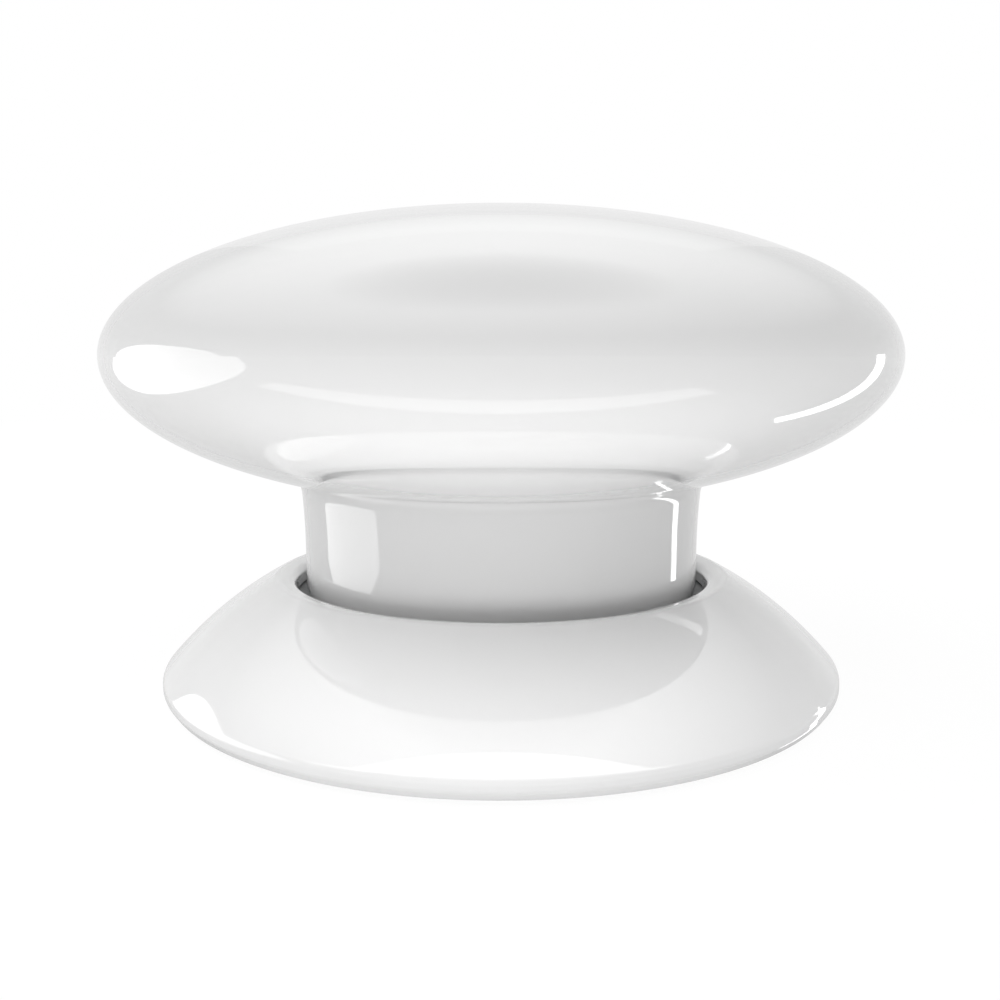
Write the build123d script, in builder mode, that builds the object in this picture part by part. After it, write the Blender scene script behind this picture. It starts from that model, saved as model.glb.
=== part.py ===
from build123d import *
from math import cos, hypot, radians, sin, sqrt
import os

# A press button for a smart home, standing on the adhesive pad that fixes it.
# Millimetres, +Z up, the origin at the middle of the pad's sticky face, the front towards -Y.
# The cap and its stem are pressed down into the base against a spring and a switch, and
# the base turns off its stuck plate to give access to the coin cell.

# Cap: a lens of two half shells that meet at the widest line
cap_diameter = 46.0
crown_height = 8.55
underside_depth = 8.3
cap_wall = 1.6
neck_round = 2.2
neck_sink = 0.05
tongue_wall = 0.8
tongue_height = 1.35
tongue_root = 1.4
bead_size = 0.3
bead_height = 0.7
cap_fit = 0.1
floor_rib_width = 1.0
floor_rib_height = 1.2
floor_rib_root = 0.4
floor_rib_count = 6

# Coin cell and the frame tube that holds it inside the stem
cell_diameter = 20.0
cell_thickness = 3.2
cell_step = 0.35
cell_cap_inset = 1.3
cell_round = 0.3
cell_fit = 0.15
frame_wall = 0.7
nib_height = 0.35
nib_reach = 0.4
nib_arc = 16.0
nib_count = 3
contact_space = 1.1
web_thickness = 1.0
tube_above_board = 3.2
flange_thickness = 1.2
flange_roof_gap = 0.2
flange_screw_wall = 0.7

# Stem and its running fits
stem_wall = 0.95
stem_fit = 0.3
lip_gap = 0.55
press_travel = 0.8
stop_gap = 0.1
cap_rise = 13.0

# Ring bonded to the stem's end, which keeps it in the base
ring_thickness = 0.8
ring_reach = 1.3
ring_gap = 0.3
spigot_share = 0.5
bond_gap = 0.03

# Base: a low convex cone with a rounded lip. A round is how far it reaches along its corner's sides
base_diameter = 41.1
base_foot_inset = 0.3
base_foot_round = 0.45
base_edge_height = 0.95
base_edge_round = 0.25
flank_bulge = 0.42
lip_width = 1.2
lip_thickness = 1.2
lip_fall = 0.2
lip_outer_round = 0.35
lip_inner_round = 0.75
roof_wall = 1.5
rim_wall = 1.35
skirt_wall = 1.5

# Bayonet between the base and the stuck plate
ledge_width = 2.5
ledge_thickness = 0.75
ledge_gap = 0.2
tab_overlap = 1.0
tab_thickness = 0.6
plate_gap = 0.3
plate_floor = 0.95
turn_gap = 0.1
tab_arc = 30.0
tab_clear_arc = 2.0
release_angle = 35.0
stop_arc = 2.5
stop_clear_arc = 0.6
stop_height = 0.85
lock_count = 3

# Adhesive pad
pad_thickness = 0.8
pad_stand = 0.2
pad_rim = 0.9
pad_fit = 0.1

# Screws: small self-tapping ones
frame_screw_radius = 0.7
thread_fit = 0.02
frame_screw_head_radius = 1.3
frame_screw_head_height = 0.55
frame_screw_length = 2.4
frame_screw_boss_wall = 0.85
frame_screw_drive = 0.35
board_screw_radius = 0.6
board_screw_head_radius = 1.15
board_screw_head_height = 0.6
board_screw_length = 2.4
board_screw_drive = 0.3
screw_clearance = 0.1
head_sink = 0.1
screw_count = 3

# Circuit board and what is soldered to it
board_thickness = 1.0
board_fit = 0.35
board_post_height = 1.3
board_post_wall = 0.5
board_edge = 1.85
switch_width = 6.0
switch_height = 3.4
switch_round = 0.4
switch_floor = 1.0
plunger_radius = 1.75
plunger_fit = 0.1
plunger_rise = 1.0
plunger_depth = 1.2
leg_width = 0.7
leg_thickness = 0.2
leg_reach = 0.9
leg_rise = 1.1
leg_spacing = 4.5
chip_width = 4.0
chip_height = 0.9
chip_distance = 6.6
crystal_length = 3.2
crystal_width = 2.5
crystal_height = 0.8
crystal_distance = 6.4
led_length = 1.6
led_width = 0.8
led_height = 0.6
led_distance = 7.0
capacitor_length = 1.6
capacitor_width = 0.8
capacitor_height = 0.8
capacitor_distance = 7.6
antenna_width = 5.0
antenna_height = 7.2
antenna_thickness = 0.3
antenna_strip_width = 0.8
antenna_distance = 7.4

# Contact strips of the cell
contact_thickness = 0.15
contact_touch = 0.03
contact_disc_radius = 3.0
contact_arm_length = 3.8
contact_arm_width = 1.4
contact_arm_count = 3
tail_width = 1.2
tail_distance = 2.0
side_strip_width = 3.0
side_recess = 0.4
side_strip_rise = 0.4
side_tail_inset = 1.5
slot_clearance = 0.2

# Spring, its seat, and the post that works the switch
spring_wire_radius = 0.22
spring_turns = 4.5
spring_steps = 16
spring_sides = 6
spring_height = 6.0
spring_seat_width = 1.2
damper_thickness = 0.5
damper_fit = 0.2
post_radius = 2.0
post_gap = 0.05
crown_rib_width = 1.0
crown_rib_depth = 4.2
crown_rib_count = 4

# Angles where things stand round the axis
screw_angle = 60.0
frame_screw_angle = 90.0
tab_angle = 0.0
chip_angle = 0.0
led_angle = 90.0
antenna_angle = 120.0
crystal_angle = 240.0
capacitor_angles = [33.0, 152.0, 208.0, 270.0, 327.0]
contact_arm_angle = 0.0
floor_rib_angle = 30.0
crown_rib_angle = 45.0

# Overrun of every cut past the face it opens
overrun = 0.5

# How closely a size names the edge that is picked by it
edge_match = 0.005

# Handle of a cubic curve that draws a quarter of an ellipse
round_share = 0.5523

# Flats that stand for an inner curve, and for a rounded corner: its first cut, then its second
wall_flats = 3
first_ease_share = 0.6
second_ease_share = 0.2

# Heights, from the floor up
plate_bottom = pad_stand
plate_top = pad_thickness + plate_floor
ledge_bottom = plate_bottom
ledge_top = ledge_bottom + ledge_thickness
tab_bottom = ledge_top + ledge_gap
frame_bottom = plate_top + turn_gap
flange_top = frame_bottom + flange_thickness
damper_top = flange_top + damper_thickness
stem_bottom = damper_top + stop_gap + press_travel
shoulder_height = stem_bottom + ring_thickness
crest_height = shoulder_height + lip_thickness
equator_height = crest_height + cap_rise
crown_top = equator_height + crown_height
cell_bottom = frame_bottom + nib_height
cell_top = cell_bottom + cell_thickness
web_bottom = cell_top + contact_space
web_top = web_bottom + web_thickness
board_bottom = web_top + board_post_height
board_top = board_bottom + board_thickness
tube_top = board_top + tube_above_board
switch_top = board_top + switch_height
plunger_top = switch_top + plunger_rise
post_bottom = plunger_top + post_gap
spring_top = tube_top + spring_height
frame_screw_seat = frame_bottom + head_sink + frame_screw_head_height
frame_screw_tip = frame_screw_seat + frame_screw_length

# Radii, from the cell outwards
cell_radius = cell_diameter / 2
tube_bore = cell_radius + cell_fit
tube_radius = tube_bore + frame_wall
stem_bore = tube_radius + stem_fit
stem_radius = stem_bore + stem_wall
spigot_radius = stem_bore + stem_wall * spigot_share
lip_bore = stem_radius + lip_gap
crest_radius = lip_bore + lip_width
ring_radius = stem_radius + ring_reach
skirt_bore = ring_radius + ring_gap
skirt_radius = skirt_bore + skirt_wall
cap_radius = cap_diameter / 2
base_radius = base_diameter / 2
foot_radius = base_radius - base_foot_inset
rim_bore = foot_radius - rim_wall
ledge_radius = rim_bore - ledge_width
plate_radius = ledge_radius - plate_gap
tab_radius = ledge_radius + tab_overlap
pad_radius = plate_radius - pad_rim
board_radius = tube_bore - board_fit
board_screw_circle = board_radius - board_edge
frame_screw_pilot = frame_screw_radius + thread_fit
boss_radius = frame_screw_pilot + frame_screw_boss_wall
boss_circle = (lip_bore + skirt_radius) / 2
spring_radius = (tube_bore + tube_radius) / 2

# The base's flank is an arc of a large circle through its edge and the crest of its lip
edge_height = plate_bottom + base_edge_height
flank_run = base_radius - crest_radius
flank_rise = crest_height - edge_height
flank_chord = hypot(flank_run, flank_rise)
flank_radius = (flank_chord ** 2 / 4 + flank_bulge ** 2) / (2 * flank_bulge)
flank_setback = (flank_radius - flank_bulge) / flank_chord
flank_centre_r = (base_radius + crest_radius) / 2 - flank_rise * flank_setback
flank_centre_z = (edge_height + crest_height) / 2 - flank_run * flank_setback


def flank_height(radius, depth=0.0):
    """Height of the base's flank at a radius, or of the face that lies a depth below it."""
    return flank_centre_z + sqrt((flank_radius - depth) ** 2 - (radius - flank_centre_r) ** 2)


def roof_radius(height):
    """Radius at which the inner face of the base's roof comes down to a height."""
    return flank_centre_r + sqrt((flank_radius - roof_wall) ** 2 - (height - flank_centre_z) ** 2)


def ellipse_height(radius, half_width, half_height):
    """Height of an ellipse above its middle line at a radius."""
    return half_height * sqrt(1 - (radius / half_width) ** 2)


def quarter_lens(half_width, half_height):
    """Control points of a quarter ellipse, from the widest line to the axis; a negative height goes down."""
    return [
        (half_width, equator_height),
        (half_width, equator_height + round_share * half_height),
        (round_share * half_width, equator_height + half_height),
        (0, equator_height + half_height),
    ]


def lens_flats(half_width, half_height):
    """Corners of the flats that follow a quarter lens on its hidden side; a negative height goes down."""
    angles = [radians(90 * index / wall_flats) for index in range(wall_flats + 1)]
    return [(half_width * cos(angle), equator_height + half_height * sin(angle)) for angle in angles]


def neck_flats():
    """Corners of the flats that ease the stem into the lens above it, then a corner inside the wall."""
    middle = stem_radius + neck_round
    top = equator_height - ellipse_height(middle, cap_radius, underside_depth) + neck_sink
    angles = [radians(90 * index / wall_flats) for index in range(wall_flats + 1)]
    flats = [(middle - neck_round * cos(angle), top - neck_round * (1 - sin(angle))) for angle in angles]
    return [*flats, (stem_radius, top)]


def round_edges(part, radius, height):
    """The circular edges of a part at one radius and height."""
    circles = part.edges().filter_by(GeomType.CIRCLE)
    at_radius = circles.filter_by(lambda edge: abs(edge.radius - radius) < edge_match)
    return at_radius.filter_by(lambda edge: abs(edge.arc_center.Z - height) < edge_match)


def sector(radius, middle, arc):
    """Corners of a wedge from the axis, long enough to reach past a radius."""
    reach = radius / cos(radians(arc / 2))
    first = radians(middle - arc / 2)
    last = radians(middle + arc / 2)
    return [(0, 0), (reach * cos(first), reach * sin(first)), (reach * cos(last), reach * sin(last))]


def radial_plane(angle, distance=0.0):
    """Upright plane that faces the axis' side at an angle: x runs outwards, y up."""
    outwards = (cos(radians(angle)), sin(radians(angle)), 0)
    sideways = (sin(radians(angle)), -cos(radians(angle)), 0)
    return Plane(origin=polar(distance, angle), x_dir=outwards, z_dir=sideways)


def polar(distance, angle):
    """Point at a distance and an angle round the axis."""
    return (distance * cos(radians(angle)), distance * sin(radians(angle)))


def save(piece, name):
    """Label a finished piece and write its file."""
    piece.part.label = name
    export_step(piece.part, f"parts/{name}.step")


os.makedirs("parts", exist_ok=True)

# Adhesive pad: a foam disc, sunk into the plate but standing a little proud of it
with BuildPart() as adhesive_pad:
    Cylinder(pad_radius, pad_thickness, align=(Align.CENTER, Align.CENTER, Align.MIN))
save(adhesive_pad, "adhesive_pad")

# Mounting plate: a disc with a pocket for the pad and three bayonet tabs at its edge
with BuildPart() as mounting_plate:
    with BuildSketch(Plane.XY.offset(plate_bottom)):
        Circle(plate_radius)
    extrude(amount=plate_top - plate_bottom)
    with BuildSketch(Plane.XY.offset(tab_bottom)):
        for index in range(lock_count):
            with BuildLine():
                Polyline(*sector(tab_radius, tab_angle + index * 360 / lock_count, tab_arc), close=True)
            make_face()
        Circle(tab_radius, mode=Mode.INTERSECT)
    extrude(amount=tab_thickness)
    with BuildSketch(Plane.XY.offset(pad_thickness)):
        Circle(pad_radius + pad_fit)
    extrude(amount=-pad_thickness, mode=Mode.SUBTRACT)
save(mounting_plate, "mounting_plate")

# Base shell: the visible cone with its lip, hollow below, with a skirt that takes the frame's screws
roof_start = roof_radius(ledge_top + stop_height / 2)
with BuildPart() as base_shell:
    with BuildSketch(Plane.XZ) as profile:
        with BuildLine():
            Polyline(
                (ledge_radius, plate_bottom),
                (foot_radius, plate_bottom),
                (base_radius, plate_bottom + base_foot_round),
                (base_radius, edge_height),
            )
            flank_middle = (base_radius + crest_radius) / 2
            ThreePointArc(
                (base_radius, edge_height),
                (flank_middle, flank_height(flank_middle)),
                (crest_radius, crest_height),
            )
            Polyline(
                (crest_radius, crest_height),
                (lip_bore, crest_height - lip_fall),
                (lip_bore, shoulder_height),
                (skirt_bore, shoulder_height),
                (skirt_bore, flange_top),
                (skirt_radius, flange_top),
                (skirt_radius, flank_height(skirt_radius, roof_wall)),
            )
            roof_middle = (skirt_radius + roof_start) / 2
            Polyline(
                (skirt_radius, flank_height(skirt_radius, roof_wall)),
                (roof_middle, flank_height(roof_middle, roof_wall)),
                (roof_start, flank_height(roof_start, roof_wall)),
            )
            Polyline(
                (roof_start, flank_height(roof_start, roof_wall)),
                (rim_bore, ledge_top),
                (ledge_radius, ledge_top),
                (ledge_radius, plate_bottom),
            )
        make_face()
        # The edge and the lip are rounded by flats, each corner cut twice
        for corner, size in (
            ((base_radius, edge_height), base_edge_round),
            ((crest_radius, crest_height), lip_outer_round),
            ((lip_bore, crest_height - lip_fall), lip_inner_round),
        ):
            chamfer(profile.vertices().sort_by_distance(corner)[0], size * first_ease_share)
            chamfer(profile.vertices().sort_by_distance(corner)[:2], size * second_ease_share)
    revolve(axis=Axis.Z)
    # Bosses for the frame's screws, trimmed to the lip's bore
    with BuildSketch(Plane.XY.offset(flange_top)):
        with PolarLocations(boss_circle, screw_count, start_angle=frame_screw_angle):
            Circle(boss_radius)
        Circle(lip_bore, mode=Mode.SUBTRACT)
    extrude(amount=shoulder_height - flange_top)
    with BuildSketch(Plane.XY.offset(flange_top)):
        with PolarLocations(boss_circle, screw_count, start_angle=frame_screw_angle):
            Circle(frame_screw_pilot)
    extrude(amount=frame_screw_tip + thread_fit - flange_top, mode=Mode.SUBTRACT)
    # Notches in the ledge, which let the plate's tabs through when the base is turned
    with BuildSketch(Plane.XY.offset(ledge_top)):
        for index in range(lock_count):
            middle = tab_angle - release_angle + index * 360 / lock_count
            with BuildLine():
                Polyline(*sector(rim_bore, middle, tab_arc + 2 * tab_clear_arc), close=True)
            make_face()
        Circle(tab_radius + plate_gap, mode=Mode.INTERSECT)
    extrude(amount=-ledge_thickness - overrun, mode=Mode.SUBTRACT)
    # Stops that end the turn both ways
    with BuildSketch(Plane.XY.offset(ledge_top)):
        for index in range(lock_count):
            closed = tab_angle + tab_arc / 2 + stop_clear_arc + stop_arc / 2
            opened = closed + 360 / lock_count - release_angle - tab_arc - 2 * stop_clear_arc - stop_arc
            for middle in (closed, opened - tab_clear_arc):
                with BuildLine():
                    Polyline(*sector(rim_bore, middle + index * 360 / lock_count, stop_arc), close=True)
                make_face()
        Circle(tab_radius, mode=Mode.INTERSECT)
        Circle(ledge_radius, mode=Mode.SUBTRACT)
    extrude(until=Until.NEXT)
save(base_shell, "base_shell")

# Inner frame: the tube that guides the stem, its flange, the cell bay below and the board's posts above
flange_radius = roof_radius(flange_top + flange_roof_gap)
side_slot_width = side_strip_width + 2 * slot_clearance
side_strip_out = tube_bore + side_recess - contact_thickness
side_tail_radius = side_strip_out - side_tail_inset
with BuildPart() as inner_frame:
    with BuildSketch(Plane.XY.offset(frame_bottom)):
        Circle(flange_radius)
        with PolarLocations(boss_circle, screw_count, start_angle=frame_screw_angle):
            Circle(frame_screw_head_radius + screw_clearance + flange_screw_wall)
    extrude(amount=flange_thickness)
    with BuildSketch(Plane.XY.offset(frame_bottom)):
        Circle(tube_radius)
    extrude(amount=tube_top - frame_bottom)
    with BuildSketch(Plane.XY.offset(frame_bottom)):
        Circle(tube_bore)
    extrude(amount=web_bottom - frame_bottom, mode=Mode.SUBTRACT)
    with BuildSketch(Plane.XY.offset(web_top)):
        Circle(tube_bore)
    extrude(amount=tube_top + overrun - web_top, mode=Mode.SUBTRACT)
    with BuildSketch(Plane.XY.offset(web_top)):
        with PolarLocations(board_screw_circle, screw_count, start_angle=screw_angle):
            Circle(board_screw_radius + thread_fit + board_post_wall)
    extrude(amount=board_post_height)
    with BuildSketch(Plane.XY.offset(board_bottom)):
        with PolarLocations(board_screw_circle, screw_count, start_angle=screw_angle):
            Circle(board_screw_radius + thread_fit)
    extrude(amount=board_top - board_screw_length - thread_fit - board_bottom, mode=Mode.SUBTRACT)
    # Nibs that hold the cell up when the plate is off
    with BuildSketch(Plane.XY.offset(frame_bottom)):
        for index in range(nib_count):
            with BuildLine():
                Polyline(*sector(tube_radius, screw_angle + index * 360 / nib_count, nib_arc), close=True)
            make_face()
        Circle(tube_bore + frame_wall / 2, mode=Mode.INTERSECT)
        Circle(tube_bore - nib_reach, mode=Mode.SUBTRACT)
    extrude(amount=nib_height)
    # Recess of the side contact, and the slots where both tails pass up to the board
    with BuildSketch(Plane.XY.offset(frame_bottom)):
        with Locations((side_strip_out / 2, 0)):
            Rectangle(side_strip_out, side_slot_width)
        Circle(tube_bore - frame_wall, mode=Mode.SUBTRACT)
        with Locations((tube_bore, 0)):
            Rectangle(2 * side_recess, side_slot_width)
    extrude(amount=web_bottom - frame_bottom, mode=Mode.SUBTRACT)
    with BuildSketch(Plane.XY.offset(web_bottom)):
        with Locations((side_tail_radius, 0)):
            Rectangle(contact_thickness + 2 * slot_clearance, side_slot_width)
        with Locations((0, tail_distance)):
            Rectangle(tail_width + 2 * slot_clearance, contact_thickness + 2 * slot_clearance)
    extrude(amount=web_thickness, mode=Mode.SUBTRACT)
    # Holes for the screws that hold the frame to the base
    with BuildSketch(Plane.XY.offset(frame_bottom)):
        with PolarLocations(boss_circle, screw_count, start_angle=frame_screw_angle):
            Circle(frame_screw_radius + screw_clearance)
    extrude(amount=flange_thickness, mode=Mode.SUBTRACT)
    with BuildSketch(Plane.XY.offset(frame_bottom)):
        with PolarLocations(boss_circle, screw_count, start_angle=frame_screw_angle):
            Circle(frame_screw_head_radius + screw_clearance)
    extrude(amount=frame_screw_seat - frame_bottom, mode=Mode.SUBTRACT)
save(inner_frame, "inner_frame")


def screws(circle, angle, seat, up, sizes):
    """A ring of equal screws: a shank from the seat one way, a head with a cross recess the other."""
    radius, length, head_radius, head_height, drive = sizes
    with BuildPart() as ring:
        with BuildSketch(Plane.XY.offset(seat)):
            with PolarLocations(circle, screw_count, start_angle=angle):
                Circle(radius)
        extrude(amount=up * length)
        with BuildSketch(Plane.XY.offset(seat)):
            with PolarLocations(circle, screw_count, start_angle=angle):
                Circle(head_radius)
        extrude(amount=-up * head_height)
        with BuildSketch(Plane.XY.offset(seat - up * head_height)):
            with PolarLocations(circle, screw_count, start_angle=angle):
                Rectangle(head_radius, drive)
                Rectangle(drive, head_radius)
        extrude(amount=up * drive, mode=Mode.SUBTRACT)
    return ring


frame_screw_sizes = (
    frame_screw_radius,
    frame_screw_length,
    frame_screw_head_radius,
    frame_screw_head_height,
    frame_screw_drive,
)
frame_screws = screws(boss_circle, frame_screw_angle, frame_screw_seat, 1, frame_screw_sizes)
save(frame_screws, "frame_screws")

board_screw_sizes = (
    board_screw_radius,
    board_screw_length,
    board_screw_head_radius,
    board_screw_head_height,
    board_screw_drive,
)
board_screws = screws(board_screw_circle, screw_angle, board_top, -1, board_screw_sizes)
save(board_screws, "board_screws")

# Damping ring: a soft ring on the frame's flange, where the stem comes down
with BuildPart() as damping_ring:
    with BuildSketch(Plane.XY.offset(flange_top)):
        Circle(lip_bore - damper_fit)
        Circle(tube_radius + damper_fit, mode=Mode.SUBTRACT)
    extrude(amount=damper_thickness)
save(damping_ring, "damping_ring")

# Retaining ring: bonded to the stem's end below the base's shoulder, notched round the screw bosses
with BuildPart() as retaining_ring:
    with BuildSketch(Plane.XY.offset(stem_bottom)):
        Circle(ring_radius)
        Circle(spigot_radius + bond_gap, mode=Mode.SUBTRACT)
        with PolarLocations(boss_circle, screw_count, start_angle=frame_screw_angle):
            Circle(boss_radius + ring_gap, mode=Mode.SUBTRACT)
    extrude(amount=ring_thickness)
save(retaining_ring, "retaining_ring")

# Cap under shell: the lower half of the lens and the stem in one piece
cap_bore = cap_radius - cap_wall
inner_depth = underside_depth - cap_wall
inner_crown = crown_height - cap_wall
neck_height = equator_height - inner_depth / 2
tongue_radius = cap_bore - cap_fit
with BuildPart() as cap_under_shell:
    with BuildSketch(Plane.XZ):
        with BuildLine():
            outside = Bezier(*quarter_lens(cap_radius, -underside_depth))
            Polyline(outside @ 1, (0, equator_height), outside @ 0)
        make_face()
        with Locations((0, shoulder_height)):
            Rectangle(stem_radius, neck_height - shoulder_height, align=(Align.MIN, Align.MIN))
        with Locations((0, stem_bottom)):
            Rectangle(spigot_radius, ring_thickness, align=(Align.MIN, Align.MIN))
        with BuildLine():
            Polyline(*neck_flats(), close=True)
        make_face()
        with BuildLine():
            Polyline(*lens_flats(cap_bore, -inner_depth), (0, equator_height), close=True)
        make_face(mode=Mode.SUBTRACT)
        Rectangle(stem_bore, crown_top, align=(Align.MIN, Align.MIN), mode=Mode.SUBTRACT)
    revolve(axis=Axis.Z)
    # Stiffening webs that rise from the inner floor towards the stem
    floor = lens_flats(cap_bore, -inner_depth)
    for index in range(floor_rib_count):
        with BuildSketch(radial_plane(floor_rib_angle + index * 360 / floor_rib_count)):
            with BuildLine():
                Polyline(
                    floor[1],
                    (floor[2][0], floor[2][1] + floor_rib_height),
                    (floor[2][0], floor[2][1] - floor_rib_root),
                    (floor[1][0], floor[1][1] - floor_rib_root),
                    close=True,
                )
            make_face()
        extrude(amount=floor_rib_width / 2, both=True)
    with BuildSketch(Plane.XY.offset(equator_height - tongue_root)):
        Circle(stem_bore)
    extrude(amount=stem_bottom - equator_height, mode=Mode.SUBTRACT)
    # Tongue that enters the top shell, with the bead that snaps into its groove
    with BuildSketch(Plane.XY.offset(equator_height - tongue_root)):
        Circle(tongue_radius)
        Circle(tongue_radius - tongue_wall, mode=Mode.SUBTRACT)
    extrude(amount=tongue_root + tongue_height)
    with BuildSketch(Plane.XZ):
        with BuildLine():
            Polyline(
                (tongue_radius, equator_height + bead_height - bead_size),
                (tongue_radius + bead_size, equator_height + bead_height),
                (tongue_radius, equator_height + bead_height + bead_size),
                (tongue_radius - tongue_wall / 2, equator_height + bead_height),
                close=True,
            )
        make_face()
    revolve(axis=Axis.Z)
save(cap_under_shell, "cap_under_shell")

# Cap top shell: the crown, with the spring's seat, the post over the switch and ribs between them
seat_radius = spring_radius + spring_seat_width / 2
seat_crown = equator_height + ellipse_height(seat_radius, cap_radius, crown_height)
root_height = (equator_height + inner_crown + seat_crown) / 2
with BuildPart() as cap_top_shell:
    with BuildSketch(Plane.XZ):
        with BuildLine():
            outside = Bezier(*quarter_lens(cap_radius, crown_height))
            inside = Polyline(*lens_flats(cap_bore, inner_crown))
            Line(outside @ 0, inside @ 0)
            Line(outside @ 1, inside @ 1)
        make_face()
    revolve(axis=Axis.Z)
    # Room for the tongue of the under shell, and the groove for its bead
    with BuildSketch(Plane.XY.offset(equator_height)):
        Circle(cap_bore)
        Circle(tongue_radius - 2 * tongue_wall, mode=Mode.SUBTRACT)
    extrude(amount=tongue_height + cap_fit, mode=Mode.SUBTRACT)
    with BuildSketch(Plane.XZ):
        with BuildLine():
            Polyline(
                (cap_bore - cap_fit, equator_height + bead_height - bead_size - cap_fit),
                (cap_bore + bead_size, equator_height + bead_height),
                (cap_bore - cap_fit, equator_height + bead_height + bead_size + cap_fit),
                close=True,
            )
        make_face()
    revolve(axis=Axis.Z, mode=Mode.SUBTRACT)
    # The post, the seat and the ribs reach up into the middle of the crown's wall
    with BuildSketch(Plane.XY.offset(root_height)):
        Circle(post_radius)
    extrude(amount=post_bottom - root_height)
    with BuildSketch(Plane.XY.offset(root_height)):
        Circle(seat_radius)
        Circle(seat_radius - spring_seat_width, mode=Mode.SUBTRACT)
    extrude(amount=spring_top - root_height)
    with BuildSketch(Plane.XY.offset(root_height)):
        for index in range(crown_rib_count // 2):
            angle = crown_rib_angle + index * 360 / crown_rib_count
            Rectangle(2 * spring_radius, crown_rib_width, rotation=angle)
    extrude(amount=-crown_rib_depth)
save(cap_top_shell, "cap_top_shell")

# Return spring: one wire from the frame's rim up to the seat in the crown
spring_rise = spring_height - 2 * spring_wire_radius
section_count = round(spring_turns * spring_steps)
with BuildPart() as return_spring:
    for index in range(section_count + 1):
        with BuildSketch(radial_plane(360 * index / spring_steps, spring_radius)):
            with Locations((0, tube_top + spring_wire_radius + spring_rise * index / section_count)):
                RegularPolygon(spring_wire_radius, spring_sides, rotation=180 / spring_sides)
    loft(ruled=True)
save(return_spring, "return_spring")
print("spring gap", round(spring_rise / spring_turns - 2 * spring_wire_radius, 2))

# Coin cell: a can with its smaller cap upwards
with BuildPart() as coin_cell:
    with BuildSketch(Plane.XY.offset(cell_bottom)):
        Circle(cell_radius)
    extrude(amount=cell_thickness - cell_step)
    chamfer(round_edges(coin_cell, cell_radius, cell_bottom), cell_round)
    chamfer(round_edges(coin_cell, cell_radius, cell_top - cell_step), cell_round)
    with BuildSketch(Plane.XY.offset(cell_top - cell_step)):
        Circle(cell_radius - cell_cap_inset)
    extrude(amount=cell_step)
save(coin_cell, "coin_cell")

# Negative contact: a disc under the web with three sprung arms and a tail
with BuildPart() as negative_contact:
    with BuildSketch(Plane.XY.offset(web_bottom - contact_thickness)):
        Circle(contact_disc_radius)
    extrude(amount=contact_thickness)
    arm_root = contact_disc_radius - contact_arm_width / 2
    arm_tip = arm_root + contact_arm_length
    for index in range(contact_arm_count):
        with BuildSketch(radial_plane(contact_arm_angle + index * 360 / contact_arm_count)):
            with BuildLine():
                Polyline(
                    (arm_root, web_bottom),
                    (arm_tip, cell_top + contact_touch + contact_thickness),
                    (arm_tip, cell_top + contact_touch),
                    (arm_root, web_bottom - contact_thickness),
                    close=True,
                )
            make_face()
        extrude(amount=contact_arm_width / 2, both=True)
    with BuildSketch(Plane.XY.offset(web_bottom - contact_thickness)):
        with Locations((0, tail_distance)):
            Rectangle(tail_width, contact_thickness)
    extrude(amount=board_bottom - web_bottom + contact_thickness)
save(negative_contact, "negative_contact")

# Positive contact: a strip sprung against the cell's side, with its tail up to the board
with BuildPart() as positive_contact:
    with BuildSketch(Plane.XZ):
        with BuildLine():
            Polyline(
                (side_strip_out, cell_bottom + side_strip_rise),
                (cell_radius + contact_touch + contact_thickness / 2, cell_bottom + cell_thickness / 2),
                (side_strip_out, cell_top),
                (side_strip_out, web_bottom - contact_thickness / 2),
                (side_tail_radius, web_bottom - contact_thickness / 2),
                (side_tail_radius, board_bottom),
            )
        trace(line_width=contact_thickness)
    extrude(amount=side_strip_width / 2, both=True)
save(positive_contact, "positive_contact")

# Main board: a round circuit board on the frame's posts
with BuildPart() as main_board:
    with BuildSketch(Plane.XY.offset(board_bottom)):
        Circle(board_radius)
        with PolarLocations(board_screw_circle, screw_count, start_angle=screw_angle):
            Circle(board_screw_radius + screw_clearance, mode=Mode.SUBTRACT)
    extrude(amount=board_thickness)
save(main_board, "main_board")

# Switch: its case with the plunger's bore, four bent legs, and the plunger
with BuildPart() as switch_body:
    with BuildSketch(Plane.XY.offset(board_top)):
        RectangleRounded(switch_width, switch_width, switch_round)
    extrude(amount=switch_height)
    with BuildSketch(Plane.XY.offset(board_top + switch_floor)):
        Circle(plunger_radius + plunger_fit)
    extrude(amount=switch_height, mode=Mode.SUBTRACT)
save(switch_body, "switch_body")

with BuildPart() as switch_legs:
    for side in (-1, 1):
        for place in (-leg_spacing / 2, leg_spacing / 2):
            with BuildSketch(Plane.XZ.offset(place)):
                with BuildLine():
                    knee = side * (switch_width / 2 + leg_reach / 2)
                    Polyline(
                        (side * switch_width / 2, board_top + leg_rise),
                        (knee, board_top + leg_rise),
                        (knee, board_top + leg_thickness / 2),
                        (side * (switch_width / 2 + leg_reach), board_top + leg_thickness / 2),
                    )
                trace(line_width=leg_thickness)
            extrude(amount=leg_width / 2, both=True)
save(switch_legs, "switch_legs")

with BuildPart() as switch_plunger:
    with BuildSketch(Plane.XY.offset(switch_top - plunger_depth)):
        Circle(plunger_radius)
    extrude(amount=plunger_depth + plunger_rise)
    chamfer(round_edges(switch_plunger, plunger_radius, plunger_top), plunger_fit)
save(switch_plunger, "switch_plunger")


def board_block(length, width, height, distance, angles):
    """Block-shaped components on the board, turned to face the axis."""
    with BuildPart() as block:
        for angle in angles:
            with BuildSketch(Plane.XY.offset(board_top)):
                with Locations(polar(distance, angle)):
                    Rectangle(width, length, rotation=angle)
            extrude(amount=height)
    return block


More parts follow.
